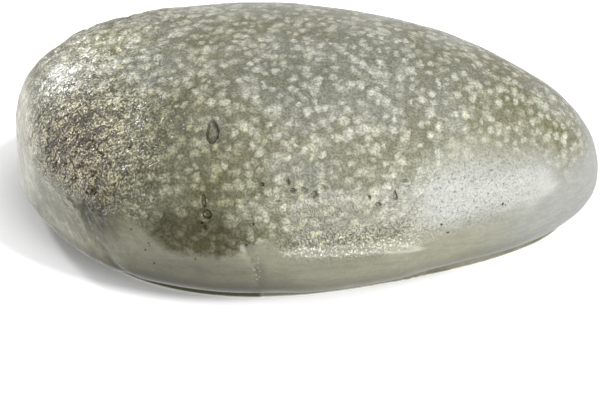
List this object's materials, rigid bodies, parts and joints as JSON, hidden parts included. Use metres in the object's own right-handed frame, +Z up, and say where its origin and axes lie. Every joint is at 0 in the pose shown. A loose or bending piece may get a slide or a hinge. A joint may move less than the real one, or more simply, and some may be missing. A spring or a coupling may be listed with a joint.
{
  "type": "hide-a-key rock",
  "caption": "Hollow cast resin pebble with a screwed base plate and a sealed key box with a hinged snap lid in its underside.",
  "frame": {"origin": "middle of the pebble's outline seen from above, on the level it stands on", "axes": "+X towards the pebble's tapered end, +Y towards its back, +Z up"},
  "size_m": [0.128, 0.0866, 0.0415],
  "materials": {
    "cast_resin": "gloss",
    "cast_resin_base": "satin",
    "gasket_rubber": "matte",
    "screw_steel": "satin",
    "insert_brass": "satin",
    "box_plastic": "satin",
    "lid_seal_rubber": "matte",
    "pin_steel": "gloss",
    "pad_foam": "matte",
    "lid_plastic": "satin"
  },
  "bodies": {
    "stone": {"stone_shell": "cast_resin", "base_plate": "cast_resin_base", "base_seal": "gasket_rubber", "base_screws": "screw_steel", "boss_inserts": "insert_brass", "key_box": "box_plastic", "lid_seal": "lid_seal_rubber", "hinge_pin": "pin_steel", "box_pad": "pad_foam"},
    "lid": {"lid": "lid_plastic", "lid_pad": "pad_foam"}
  },
  "joints": [
    {"name": "lid_hinge", "type": "hinge", "parent": "stone", "child": "lid", "pos_m": [-0.0386, 0.001, 0.0022], "axis": [0, 1, 0], "range_deg": [0, 110]}
  ]
}
